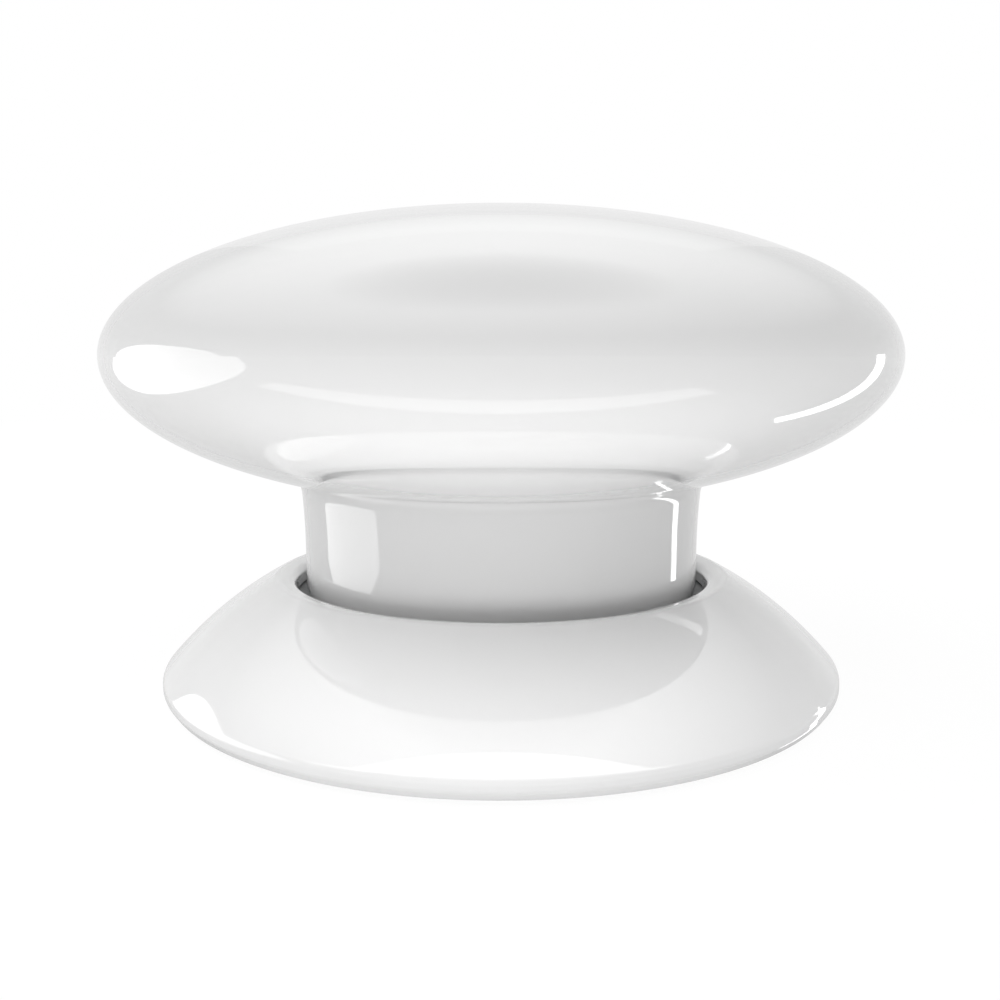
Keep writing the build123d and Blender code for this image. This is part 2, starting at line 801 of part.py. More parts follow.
radio_chip = board_block(chip_width, chip_width, chip_height, chip_distance, [chip_angle])
save(radio_chip, "radio_chip")
crystal = board_block(crystal_length, crystal_width, crystal_height, crystal_distance, [crystal_angle])
save(crystal, "crystal")
status_led = board_block(led_length, led_width, led_height, led_distance, [led_angle])
save(status_led, "status_led")
capacitors = board_block(
    capacitor_length, capacitor_width, capacitor_height, capacitor_distance, capacitor_angles
)
save(capacitors, "capacitors")

# Antenna: a stamped strip that winds upwards from the board
antenna_plane = Plane(
    origin=(*polar(antenna_distance, antenna_angle), board_top),
    x_dir=(-sin(radians(antenna_angle)), cos(radians(antenna_angle)), 0),
    z_dir=(cos(radians(antenna_angle)), sin(radians(antenna_angle)), 0),
)
antenna_slots = round((antenna_height - antenna_strip_width) / (2 * antenna_strip_width))
with BuildPart() as antenna:
    with BuildSketch(antenna_plane):
        with Locations((0, antenna_height / 2)):
            Rectangle(antenna_width, antenna_height)
        for index in range(antenna_slots):
            side = 1 if index % 2 else -1
            with Locations((side * antenna_strip_width, antenna_strip_width * (2 * index + 3 / 2))):
                Rectangle(antenna_width, antenna_strip_width, mode=Mode.SUBTRACT)
    extrude(amount=antenna_thickness / 2, both=True)
save(antenna, "antenna")
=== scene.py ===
"""A press button for a smart home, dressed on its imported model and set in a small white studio."""

import logging
import math
from dataclasses import dataclass, replace
from enum import Enum

import bpy
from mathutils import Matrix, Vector


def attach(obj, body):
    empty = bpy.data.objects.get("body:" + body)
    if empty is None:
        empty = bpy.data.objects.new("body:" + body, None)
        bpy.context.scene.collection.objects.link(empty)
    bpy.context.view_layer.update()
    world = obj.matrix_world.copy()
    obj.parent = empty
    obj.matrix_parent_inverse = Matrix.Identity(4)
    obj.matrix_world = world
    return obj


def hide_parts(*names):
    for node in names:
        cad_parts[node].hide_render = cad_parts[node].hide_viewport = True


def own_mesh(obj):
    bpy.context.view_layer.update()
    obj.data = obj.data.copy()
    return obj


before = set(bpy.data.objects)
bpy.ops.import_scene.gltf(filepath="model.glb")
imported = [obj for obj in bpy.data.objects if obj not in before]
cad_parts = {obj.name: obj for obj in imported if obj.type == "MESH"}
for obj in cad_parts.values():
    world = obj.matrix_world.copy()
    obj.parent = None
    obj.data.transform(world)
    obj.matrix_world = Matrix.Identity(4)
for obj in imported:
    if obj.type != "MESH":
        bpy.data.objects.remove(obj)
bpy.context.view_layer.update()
log = logging.getLogger("press_button")

MM = 0.001
WELD = 0.0000002
SLOPE_STEP = 0.01 * MM
SMALL_ROUND = 0.1 * MM
SMOOTH_ANGLE = 32.0

# Steps along the curves
TURN_STEPS = 192
DRUM_SIDES = 48
CROWN_STEPS = 64
SEAT_STEPS = 12
CROWN_ROUND_STEPS = 6
BELLY_STEPS = 40
NECK_STEPS = 16
TAPER_STEPS = 12
CAVITY_STEPS = 24
STEM_ROUND_STEPS = 12
FLANK_STEPS = 32
ROOF_STEPS = 16
BASE_ROUND_STEPS = 10
WIRE_SIDES = 16
FLOOR_SIDES = 128
ARC_STEP = 3
LEAST_STEPS = 2

Piece = bpy.types.Object
Colour = tuple[float, float, float]
Place = tuple[float, float, float]
Point = tuple[float, float]
Corner = tuple[float, float, float]


def ease_corner(before: Point, corner: Point, after: Point, radius: float, count: int) -> list[Point]:
    """Rounds a corner between two straight sides.

    Args:
        before: Where the first side starts.
        corner: Where the sides meet.
        after: Where the second side ends.
        radius: Radius of the round.
        count: Number of steps along the arc.

    Returns:
        The arc's points, in order.
    """
    middle = Vector(corner)
    first = (Vector(before) - middle).normalized()
    second = (Vector(after) - middle).normalized()
    half = first.angle(second) / 2
    centre = middle + (first + second).normalized() * (radius / math.sin(half))
    setback = radius / math.tan(half)
    start = middle + first * setback - centre
    turn = start.angle_signed(middle + second * setback - centre)
    points = []
    for step in range(count + 1):
        angle = -turn * step / count
        x = start.x * math.cos(angle) - start.y * math.sin(angle)
        z = start.x * math.sin(angle) + start.y * math.cos(angle)
        points.append((centre.x + x, centre.y + z))
    return points


def outline(corners: list[Corner], count: int) -> list[Point]:
    """Turns corners with a radius each into the points of an outline.

    Args:
        corners: Distance from the axis, height and radius of each corner.
        count: Number of steps along each rounded corner.

    Returns:
        The outline's points, in order.
    """
    points = []
    for index, (x, z, radius) in enumerate(corners):
        if radius == 0:
            points.append((x, z))
            continue
        before = corners[index - 1][:2]
        after = corners[(index + 1) % len(corners)][:2]
        points.extend(ease_corner(before, (x, z), after, radius, count))
    return points


def lens_corners(
    half_width: float, half_height: float, middle: float, first: float, last: float, count: int
) -> list[Corner]:
    """Follows an ellipse from one distance from the axis to another.

    Args:
        half_width: The ellipse's half width.
        half_height: Its half height, below zero for the lower half.
        middle: Height of its widest line.
        first: Distance from the axis at which it starts.
        last: Distance from the axis at which it ends.
        count: Number of steps.

    Returns:
        Corners without a radius, in order.
    """
    start = math.acos(min(1.0, first / half_width))
    end = math.acos(min(1.0, last / half_width))
    corners = []
    for step in range(count + 1):
        angle = start + (end - start) * step / count
        corners.append((half_width * math.cos(angle), middle + half_height * math.sin(angle), 0.0))
    return corners


def start_piece(name: str) -> Piece:
    """Names the object that was just added and clears its place.

    Args:
        name: The piece's name.

    Returns:
        The object, at the origin with its place in its mesh.
    """
    piece = bpy.context.active_object
    piece.name = name
    bpy.ops.object.transform_apply(location=True, rotation=True, scale=True)
    return piece


def select_only(piece: Piece) -> None:
    """Selects one piece and makes it the active one.

    Args:
        piece: The piece.
    """
    bpy.ops.object.select_all(action="DESELECT")
    piece.select_set(True)
    bpy.context.view_layer.objects.active = piece


def weld() -> None:
    """Merges the edited mesh's vertices that lie in one place."""
    bpy.ops.mesh.select_all(action="SELECT")
    bpy.ops.mesh.remove_doubles(threshold=WELD)


def draw(name: str, points: list[Point], closed: bool) -> Piece:
    """Starts a piece as an outline in the upright plane and stays in edit mode.

    Args:
        name: The piece's name.
        points: The outline's points, as distance from the axis and height.
        closed: Whether the last point is joined to the first.

    Returns:
        The piece.
    """
    bpy.ops.object.select_all(action="DESELECT")
    bpy.ops.mesh.primitive_plane_add(size=MM, location=(0, 0, 0))
    piece = start_piece(name)
    bpy.ops.object.mode_set(mode="EDIT")
    bpy.ops.mesh.select_all(action="SELECT")
    bpy.ops.mesh.merge(type="CENTER")
    bpy.ops.transform.translate(value=(points[0][0], 0, points[0][1]))
    ends = [*points, points[0]] if closed else points
    for (x, z), (next_x, next_z) in zip(ends, ends[1:]):
        bpy.ops.mesh.extrude_region_move(TRANSFORM_OT_translate={"value": (next_x - x, 0, next_z - z)})
    weld()
    return piece


def close_mesh() -> None:
    """Merges doubles, turns the faces outwards and leaves edit mode."""
    weld()
    bpy.ops.mesh.normals_make_consistent(inside=False)
    bpy.ops.object.mode_set(mode="OBJECT")


def turned(name: str, points: list[Point], closed: bool = True) -> Piece:
    """Makes a turned piece by spinning an outline round the upright axis.

    Args:
        name: The piece's name.
        points: The outline, as distance from the axis and height.
        closed: Whether the outline is a ring; otherwise both its ends are on the axis.

    Returns:
        The piece.
    """
    piece = draw(name, points, closed)
    bpy.ops.mesh.spin(steps=TURN_STEPS, angle=2 * math.pi, center=(0, 0, 0), axis=(0, 0, 1))
    close_mesh()
    return piece


def slab(name: str, points: list[Point], thickness: float, angle: float) -> Piece:
    """Makes an upright plate from an outline, turned to an angle round the axis.

    Args:
        name: The piece's name.
        points: The outline, as distance from the axis and height.
        thickness: The plate's thickness.
        angle: Angle round the axis, in degrees.

    Returns:
        The piece.
    """
    piece = draw(name, points, closed=True)
    bpy.ops.transform.translate(value=(0, -thickness / 2, 0))
    bpy.ops.mesh.edge_face_add()
    bpy.ops.mesh.extrude_region_move(TRANSFORM_OT_translate={"value": (0, thickness, 0)})
    close_mesh()
    return turn_to(piece, angle)


def wedge(name: str, points: list[Point], arc: float, angle: float) -> Piece:
    """Makes a piece of a ring by spinning an outline through an arc.

    Args:
        name: The piece's name.
        points: The outline, as distance from the axis and height.
        arc: The arc that it fills, in degrees.
        angle: Angle of its middle, in degrees.

    Returns:
        The piece.
    """
    piece = draw(name, points, closed=True)
    bpy.ops.mesh.edge_face_add()
    steps = max(LEAST_STEPS, round(arc / ARC_STEP))
    bpy.ops.mesh.spin(steps=steps, angle=math.radians(arc), center=(0, 0, 0), axis=(0, 0, 1))
    weld()
    bpy.ops.object.mode_set(mode="OBJECT")
    middle = sum((corner.co for corner in piece.data.vertices), Vector()) / len(piece.data.vertices)
    turn_to(piece, angle - math.degrees(math.atan2(middle.y, middle.x)))
    bpy.ops.object.mode_set(mode="EDIT")
    close_mesh()
    return piece


def drum(
    name: str, radius: float, bottom: float, top: float, place: Point, sides: int = DRUM_SIDES
) -> Piece:
    """Makes an upright cylinder.

    Args:
        name: The piece's name.
        radius: Its radius.
        bottom: Height of its lower face.
        top: Height of its upper face.
        place: Where its axis stands.
        sides: Number of its sides.

    Returns:
        The piece.
    """
    bpy.ops.object.select_all(action="DESELECT")
    bpy.ops.mesh.primitive_cylinder_add(
        vertices=sides, radius=radius, depth=top - bottom, location=(*place, (bottom + top) / 2)
    )
    return start_piece(name)


def turn_to(piece: Piece, angle: float) -> Piece:
    """Turns a piece round the upright axis, in its mesh.

    Args:
        piece: The piece.
        angle: The angle, in degrees.

    Returns:
        The same piece.
    """
    select_only(piece)
    piece.rotation_euler = (0, 0, math.radians(angle))
    bpy.ops.object.transform_apply(rotation=True)
    return piece


def copy_of(piece: Piece) -> Piece:
    """Copies a piece together with its mesh.

    Args:
        piece: The piece that is copied.

    Returns:
        The copy, in the same place.
    """
    twin = piece.copy()
    twin.data = piece.data.copy()
    bpy.context.scene.collection.objects.link(twin)
    return twin


class Fit(Enum):
    """What a tool piece does to the piece that it meets."""

    ADD = "UNION"
    CUT = "DIFFERENCE"


def combine(piece: Piece, tools: list[Piece], fit: Fit) -> None:
    """Adds tool pieces to a piece, or cuts them out of it, and takes them away.

    Args:
        piece: The piece that is changed.
        tools: The pieces that are added or cut out, clear of each other.
        fit: Whether they are added or cut out.
    """
    bpy.ops.object.select_all(action="DESELECT")
    for tool in tools:
        tool.select_set(True)
    tool = tools[0]
    bpy.context.view_layer.objects.active = tool
    if len(tools) > 1:
        bpy.ops.object.join()
    select_only(piece)
    change = piece.modifiers.new("fit", "BOOLEAN")
    change.operation = fit.value
    change.object = tool
    change.solver = "EXACT"
    bpy.ops.object.modifier_apply(modifier=change.name)
    bpy.data.objects.remove(tool)


class Grain(Enum):
    """How the grain of a finish runs."""

    CAST = "even specks, as on moulded plastic"
    DRAWN = "lines along the X axis, as on drawn or rolled metal"
    TURNED = "rings round the part's axis, as on turned or pressed metal"
    CELLS = "open cells, as in foam"
    TRACKS = "tracks below a lacquer, as on a circuit board"


STRETCH: dict[Grain, Place] = {
    Grain.CAST: (1.0, 1.0, 1.0),
    Grain.DRAWN: (0.05, 1.0, 1.0),
    Grain.TURNED: (1.0, 1.0, 0.0),
}
SPECKS = {"Detail": 4.0, "Roughness": 0.55}
TRACK_SIZES = {"Mortar Size": 0.07, "Brick Width": 3.1, "Row Height": 0.5}
TRACK_SHIFT = {"offset": 0.37, "offset_frequency": 3}
LEAST_ROUGHNESS = 0.02

# Numbers of a Mix node's inputs A and B
MIX_A = 2
MIX_B = 3


def feed(node: bpy.types.Node, sockets: dict) -> None:
    """Sets or links a node's inputs.

    Args:
        node: The node.
        sockets: For each input, by name or number, its value or the output that feeds it.
    """
    for socket, value in sockets.items():
        if isinstance(value, bpy.types.NodeSocket):
            node.id_data.links.new(value, node.inputs[socket])
        else:
            node.inputs[socket].default_value = value


def add_node(
    tree: bpy.types.NodeTree, kind: str, sockets: dict | None = None, **settings: object
) -> bpy.types.Node:
    """Adds a shader node.

    Args:
        tree: The material's or world's node tree.
        kind: Blender's name for the node, without its ShaderNode.
        sockets: Values or feeding outputs for its inputs, by name or number.
        settings: Values for the node's own settings.

    Returns:
        The new node.
    """
    node = tree.nodes.new(f"ShaderNode{kind}")
    for name, value in settings.items():
        setattr(node, name, value)
    feed(node, sockets or {})
    return node


def grey(level: float) -> tuple[float, float, float, float]:
    """Gives an opaque grey, also one above white."""
    return level, level, level, 1.0


@dataclass(frozen=True)
class Finish:
    """A surface finish with a fine grain in its colour, roughness and relief.

    Attributes:
        name: Name of the finish.
        colour: Colour of the surface.
        roughness: Mean roughness.
        metallic: 1 for bare metal.
        shade: How far the colour falls in the darker parts of the grain, as a share.
        roughness_spread: How far the roughness swings about its mean.
        grain: Width of the grain, in metres.
        relief: Depth of the relief, in metres.
        coat: Weight of the clear skin over the colour.
        coat_roughness: Roughness of that skin.
        ior: Refractive index of the surface.
        kind: How the grain runs.
    """

    name: str
    colour: Colour
    roughness: float
    metallic: float = 0.0
    shade: float = 0.06
    roughness_spread: float = 0.04
    grain: float = 0.0006
    relief: float = 0.000004
    coat: float = 0.0
    coat_roughness: float = 0.05
    ior: float = 1.5
    kind: Grain = Grain.CAST

    def pattern(self, tree: bpy.types.NodeTree) -> bpy.types.NodeSocket:
        """Makes the grain, as a value from 0 to 1 on the piece's own coordinates.

        Args:
            tree: The material's node tree.

        Returns:
            The socket that gives the grain.
        """
        place = add_node(tree, "TexCoord").outputs["Object"]
        scale = 1 / self.grain
        if self.kind is Grain.CELLS:
            cells = add_node(tree, "TexVoronoi", {"Vector": place, "Scale": scale})
            return cells.outputs["Distance"]
        if self.kind is Grain.TRACKS:
            sizes = {"Vector": place, "Scale": scale, **TRACK_SIZES}
            return add_node(tree, "TexBrick", sizes, **TRACK_SHIFT).outputs["Fac"]
        stretch = add_node(tree, "Mapping", {"Vector": place, "Scale": STRETCH[self.kind]})
        vector = stretch.outputs["Vector"]
        if self.kind is Grain.TURNED:
            radius = add_node(tree, "VectorMath", {0: vector}, operation="LENGTH")
            rings = add_node(tree, "CombineXYZ", {"X": radius.outputs["Value"]})
            vector = rings.outputs["Vector"]
        noise = add_node(tree, "TexNoise", {"Vector": vector, "Scale": scale, **SPECKS})
        return noise.outputs["Fac"]

    def material(self) -> bpy.types.Material:
        """Gives the finish's material, which is built the first time."""
        return bpy.data.materials.get(f"{self.name}_finish") or self.make()

    def make(self) -> bpy.types.Material:
        """Builds the material.

        Returns:
            The material, ready for a piece's slot.
        """
        material = bpy.data.materials.new(f"{self.name}_finish")
        material.use_nodes = True
        tree = material.node_tree
        grain = self.pattern(tree)
        dark = tuple(part * (1 - self.shade) for part in self.colour)
        tones = {"Factor": grain, "A": (*dark, 1.0), "B": (*self.colour, 1.0)}
        colours = add_node(tree, "Mix", tones, data_type="RGBA")
        low = max(LEAST_ROUGHNESS, self.roughness - self.roughness_spread)
        high = self.roughness + self.roughness_spread
        rough = add_node(tree, "MapRange", {"Value": grain, "To Min": low, "To Max": high})
        bump = add_node(tree, "Bump", {"Height": grain, "Strength": 1.0, "Distance": self.relief})
        skin = {
            "Base Color": colours.outputs["Result"],
            "Roughness": rough.outputs["Result"],
            "Normal": bump.outputs["Normal"],
            "Metallic": self.metallic,
            "IOR": self.ior,
            "Coat Weight": self.coat,
            "Coat IOR": self.ior,
            "Coat Roughness": self.coat_roughness,
        }
        feed(tree.nodes["Principled BSDF"], skin)
        return material


CAP_WHITE = Finish(
    "cap_white", (0.66, 0.66, 0.66), 0.06, shade=0.012, roughness_spread=0.01, grain=0.003,
    relief=0.0000004, coat=1.0, coat_roughness=0.015, ior=1.6,
)
# The base is the same white plastic as the cap; its lighter copy of the cap's white is painted light,
# standing in for the stronger light on the base than on the cap.
BASE_WHITE_PAINTED_LIGHTER = replace(CAP_WHITE, name="base_white", colour=(0.85, 0.85, 0.85))
PLATE_PLASTIC = Finish(
    "plate_plastic", (0.62, 0.62, 0.61), 0.45, shade=0.04, roughness_spread=0.08, grain=0.00025,
)
PAD_FOAM = Finish(
    "pad_foam", (0.72, 0.72, 0.70), 0.9, shade=0.35, grain=0.0004, relief=0.00008, kind=Grain.CELLS,
)
FRAME_PLASTIC = Finish(
    "frame_plastic", (0.10, 0.105, 0.11), 0.4, shade=0.15, roughness_spread=0.1, grain=0.0003,
)
SCREW_STEEL = Finish(
    "screw_steel", (0.46, 0.46, 0.47), 0.3, metallic=1.0, shade=0.15, roughness_spread=0.1,
    grain=0.00012, relief=0.000002,
)
SOFT_RUBBER = Finish("soft_rubber", (0.06, 0.06, 0.06), 0.75, shade=0.25, grain=0.0002, relief=0.00001)
SPRING_STEEL = Finish(
    "spring_steel", (0.55, 0.54, 0.52), 0.25, metallic=1.0, shade=0.2, roughness_spread=0.1,
    grain=0.00015, relief=0.000003,
)
CELL_STEEL = Finish(
    "cell_steel", (0.66, 0.66, 0.65), 0.22, metallic=1.0, shade=0.12, roughness_spread=0.08,
    grain=0.0002, relief=0.000002, kind=Grain.TURNED,
)
CAN_STEEL = Finish(
    "can_steel", (0.62, 0.62, 0.60), 0.25, metallic=1.0, shade=0.15, roughness_spread=0.08,
    grain=0.00008, relief=0.000001, kind=Grain.DRAWN,
)
CONTACT_METAL = Finish(
    "contact_metal", (0.83, 0.69, 0.40), 0.25, metallic=1.0, shade=0.15, roughness_spread=0.1,
    grain=0.00008, relief=0.000001, kind=Grain.DRAWN,
)
BOARD_GREEN = Finish(
    "board_green", (0.02, 0.16, 0.07), 0.3, shade=0.45, roughness_spread=0.06, grain=0.0011,
    relief=0.00002, coat=0.5, kind=Grain.TRACKS,
)
CHIP_BLACK = Finish("chip_black", (0.03, 0.03, 0.032), 0.5, shade=0.3, roughness_spread=0.12, grain=0.0001)
LED_CLEAR = Finish("led_clear", (0.85, 0.80, 0.55), 0.15, shade=0.25, grain=0.0005, coat=1.0)
CAPACITOR_TAN = Finish("capacitor_tan", (0.45, 0.29, 0.15), 0.4, shade=0.2, grain=0.00015)
PLUNGER_PLASTIC = Finish("plunger_plastic", (0.05, 0.05, 0.05), 0.35, shade=0.3, grain=0.0002)

WORN_BY: dict[str, Finish] = {
    "cap_top_shell": CAP_WHITE,
    "cap_under_shell": CAP_WHITE,
    "base_shell": BASE_WHITE_PAINTED_LIGHTER,
    "mounting_plate": PLATE_PLASTIC,
    "adhesive_pad": PAD_FOAM,
    "inner_frame": FRAME_PLASTIC,
    "frame_screws": SCREW_STEEL,
    "board_screws": SCREW_STEEL,
    "damping_ring": SOFT_RUBBER,
    "retaining_ring": FRAME_PLASTIC,
    "return_spring": SPRING_STEEL,
    "coin_cell": CELL_STEEL,
    "negative_contact": CONTACT_METAL,
    "positive_contact": CONTACT_METAL,
    "main_board": BOARD_GREEN,
    "switch_body": CHIP_BLACK,
    "switch_legs": SCREW_STEEL,
    "switch_plunger": PLUNGER_PLASTIC,
    "radio_chip": CHIP_BLACK,
    "crystal": CAN_STEEL,
    "status_led": LED_CLEAR,
    "capacitors": CAPACITOR_TAN,
    "antenna": CONTACT_METAL,
}


def dress(name: str, material: bpy.types.Material) -> None:
    """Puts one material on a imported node.

    Args:
        name: The node's name.
        material: The material.
    """
    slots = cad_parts[name].data.materials
    slots.clear()
    slots.append(material)


@dataclass
class LensCap:
    """The cap: two half shells that make a lens, with the stem below.

    Attributes:
        half_width: Half the width of the lens.
        crown: Height of the lens above its widest line.
        belly: Depth of the lens below it.
        wall: Thickness of both shells.
        equator: Height of the widest line.
        stem_radius: Outer radius of the stem.
        stem_bore: Inner radius of the stem.
        spigot_radius: Radius of the stem's end, where the ring is bonded on.
        stem_end: Height of the stem's lower end.
        shoulder: Height of the stem's shoulder above the ring.
        neck_round: Radius of the stem's flare below the lens.
        neck_turn: How far the flare turns before it meets the lens, in degrees.
        taper: How much wider the stem is below the flare than at its lower part.
        taper_height: Height over which it tapers.
        tongue_radius: Outer radius of the tongue that enters the top shell.
        tongue_wall: Thickness of the tongue.
        tongue_drop: How far the tongue starts below the widest line.
        tongue_rise: How far it ends above that line.
        bead: Size of the tongue's bead.
        bead_rise: Height of the bead's edge above the widest line.
        fit: Room between the tongue and the top shell.
        seat_outer: Outer radius of the spring's seat.
        seat_inner: Inner radius of the spring's seat.
        seat_end: Height of the seat's lower face.
        post_radius: Radius of the post that works the switch.
        post_end: Height of the post's lower end.
        crown_rib_width: Thickness of the crown's ribs.
        crown_rib_angles: Angles of the crown's ribs, in degrees.
        crown_rib_top: Height of the ribs' upper edge, inside the crown's wall.
        crown_rib_depth: Height of the crown's ribs.
        web_width: Thickness of the webs on the lower shell's floor.
        web_height: Height of those webs at the stem.
        web_angles: Angles of those webs, in degrees.
        web_reach_shares: Reach of a web's lower and upper edge, as shares of the half width.
        web_rise_shares: Height of their ends above the floor's inner and outer edge, in half walls.
        post_round: Radius of the round at the post's end.
    """

    half_width: float = 23.0 * MM
    crown: float = 8.55 * MM
    belly: float = 8.58 * MM
    wall: float = 1.6 * MM
    equator: float = 19.45 * MM
    stem_radius: float = 12.1 * MM
    stem_bore: float = 11.15 * MM
    spigot_radius: float = 11.625 * MM
    stem_end: float = 4.45 * MM
    shoulder: float = 5.25 * MM
    neck_round: float = 1.3 * MM
    neck_turn: float = 40.0
    taper: float = 0.14 * MM
    taper_height: float = 3.2 * MM
    tongue_radius: float = 21.3 * MM
    tongue_wall: float = 0.8 * MM
    tongue_drop: float = 1.4 * MM
    tongue_rise: float = 1.35 * MM
    bead: float = 0.3 * MM
    bead_rise: float = 0.7 * MM
    fit: float = 0.1 * MM
    seat_outer: float = 11.1 * MM
    seat_inner: float = 9.9 * MM
    seat_end: float = 19.0 * MM
    post_radius: float = 2.0 * MM
    post_end: float = 14.25 * MM
    crown_rib_width: float = 1.0 * MM
    crown_rib_angles: tuple[float, ...] = (45.0, 135.0)
    crown_rib_top: float = 26.67 * MM
    crown_rib_depth: float = 4.2 * MM
    web_width: float = 1.0 * MM
    web_height: float = 1.2 * MM
    web_angles: tuple[float, ...] = (30.0, 90.0, 150.0, 210.0, 270.0, 330.0)
    web_reach_shares: Point = (0.75, 0.84)
    web_rise_shares: Point = (1.2, -2.4)
    post_round: float = 0.3 * MM

    def build_top_shell(self) -> Piece:
        """Turns the crown with its recess, spring seat and post, and adds its ribs.

        Returns:
            The top shell.
        """
        bore = self.half_width - self.wall
        depth = self.crown - self.wall
        ceiling = self.equator + self.tongue_rise + self.fit
        ceiling_radius = bore * math.sqrt(1 - ((ceiling - self.equator) / depth) ** 2)
        bead = self.equator + self.bead_rise
        corners = [
            *lens_corners(self.half_width, self.crown, self.equator, 0, self.half_width, CROWN_STEPS),
            (bore, self.equator, 0.0),
            (bore, bead - self.bead, 0.0),
            (bore + self.bead, bead, 0.0),
            (bore, bead + self.bead, 0.0),
            (bore, ceiling, 0.0),
            *lens_corners(bore, depth, self.equator, ceiling_radius, self.seat_outer, CAVITY_STEPS),
            (self.seat_outer, self.seat_end, SMALL_ROUND),
            (self.seat_inner, self.seat_end, SMALL_ROUND),
            *lens_corners(bore, depth, self.equator, self.seat_inner, self.post_radius, SEAT_STEPS),
            (self.post_radius, self.post_end, self.post_round),
            (0.0, self.post_end, 0.0),
        ]
        shell = turned("crown_shell", outline(corners, CROWN_ROUND_STEPS), closed=False)
        top, bottom = self.crown_rib_top, self.crown_rib_top - self.crown_rib_depth
        reach = (self.seat_outer + self.seat_inner) / 2
        rib = [(-reach, top), (-reach, bottom), (reach, bottom), (reach, top)]
        for angle in self.crown_rib_angles:
            combine(shell, [slab("crown_rib", rib, self.crown_rib_width, angle)], Fit.ADD)
        return shell

    def neck(self) -> tuple[float, list[Corner]]:
        """Works out the flare that meets the lens and the stem's taper below it.

        Returns:
            The flare's radius where it meets the lens, and the corners that follow, downwards.
        """
        lean = math.atan2(2 * self.taper, self.taper_height)
        swing = math.radians(self.neck_turn) - lean
        turns = [lean + swing * (1 - step / NECK_STEPS) for step in range(NECK_STEPS + 1)]
        root = self.stem_radius + self.taper - self.neck_round * (1 - math.cos(lean))
        flare = root + self.neck_round * (1 - math.cos(turns[0]))
        crease = self.equator - self.belly * math.sqrt(1 - (flare / self.half_width) ** 2)
        base = crease - self.neck_round * math.sin(turns[0])
        corners = []
        for turn in turns[1:]:
            radius = root + self.neck_round * (1 - math.cos(turn))
            corners.append((radius, base + self.neck_round * math.sin(turn), 0.0))
        taper_top = base + self.neck_round * math.sin(lean)
        for step in range(1, TAPER_STEPS + 1):
            radius = self.stem_radius + self.taper * (1 - step / TAPER_STEPS) ** 2
            corners.append((radius, taper_top - self.taper_height * step / TAPER_STEPS, 0.0))
        return flare, corners

    def build_under_shell(self) -> Piece:
        """Turns the lower half of the lens with its stem and tongue, and adds its webs.

        Returns:
            The under shell.
        """
        bore = self.half_width - self.wall
        depth = self.belly - self.wall
        flare, neck = self.neck()
        tongue_root = self.equator - self.tongue_drop
        floor_radius = bore * math.sqrt(1 - (self.tongue_drop / depth) ** 2)
        bead = self.equator + self.bead_rise
        tongue_bore = self.tongue_radius - self.tongue_wall
        tongue_top = self.equator + self.tongue_rise
        corners = [
            *lens_corners(self.half_width, -self.belly, self.equator, self.half_width, flare, BELLY_STEPS),
            *neck,
            (self.stem_radius, self.shoulder, SMALL_ROUND),
            (self.spigot_radius, self.shoulder, 0.0),
            (self.spigot_radius, self.stem_end, SMALL_ROUND),
            (self.stem_bore, self.stem_end, SMALL_ROUND),
            *lens_corners(bore, -depth, self.equator, self.stem_bore, floor_radius, CAVITY_STEPS),
            (tongue_bore, tongue_root, 0.0),
            (tongue_bore, tongue_top, SMALL_ROUND),
            (self.tongue_radius, tongue_top, SMALL_ROUND),
            (self.tongue_radius, bead + self.bead, 0.0),
            (self.tongue_radius + self.bead, bead, 0.0),
            (self.tongue_radius, bead - self.bead, 0.0),
            (self.tongue_radius, self.equator, 0.0),
        ]
        shell = turned("under_shell", outline(corners, STEM_ROUND_STEPS))
        ends = (self.stem_bore, floor_radius)
        floor = [self.equator - depth * math.sqrt(1 - (end / bore) ** 2) for end in ends]
        sink = self.wall / 2
        reaches = [self.half_width * share for share in self.web_reach_shares]
        heights = [level + share * sink for level, share in zip(floor, self.web_rise_shares)]
        web = [
            (self.stem_bore + self.fit, floor[0] + self.web_height),
            (self.stem_bore + self.fit, floor[0] - sink),
            *zip(reaches, heights),
        ]
        webs = [slab("floor_web", web, self.web_width, angle) for angle in self.web_angles]
        combine(shell, webs, Fit.ADD)
        return shell

    def build(self) -> list[Piece]:
        """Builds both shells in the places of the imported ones.

        Returns:
            The pieces.
        """
        top = self.build_top_shell()
        under = self.build_under_shell()
        for piece, node in ((top, "cap_top_shell"), (under, "cap_under_shell")):
            finish_piece(piece, CAP_WHITE, "button", node)
        return [top, under]


